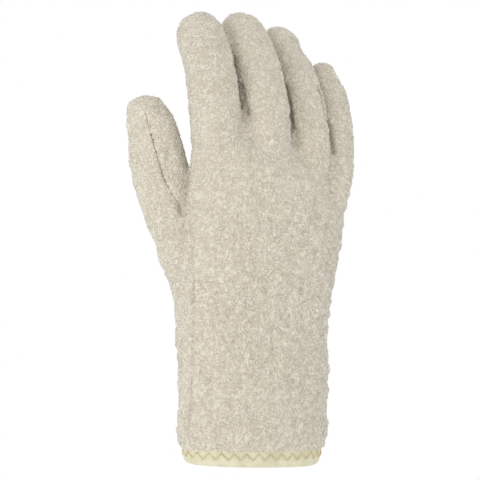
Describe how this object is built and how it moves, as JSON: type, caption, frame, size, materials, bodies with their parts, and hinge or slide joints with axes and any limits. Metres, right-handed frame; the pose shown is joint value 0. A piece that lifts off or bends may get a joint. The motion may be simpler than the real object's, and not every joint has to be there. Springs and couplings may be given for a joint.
{
  "type": "wool glove",
  "caption": "Thick cream wool glove for the right hand, with curly looped pile, a thumb and separate fingers, a long cuff and a sewn tape binding at the wrist.",
  "frame": {"origin": "middle of the wrist opening, in the plane of the cuff's rim", "axes": "+Z from the wrist opening towards the fingertips, +Y towards the palm side, -Y towards the back of the hand, -X towards the thumb"},
  "size_m": [0.15, 0.0857, 0.276],
  "materials": {
    "wool": "undyed cream wool with curly looped pile, matt",
    "binding_tape": "pale yellow woven cotton tape, matt"
  },
  "bodies": {
    "root": {"back_panel": "wool", "palm_panel": "wool", "cuff_binding": "binding_tape"}
  },
  "joints": []
}
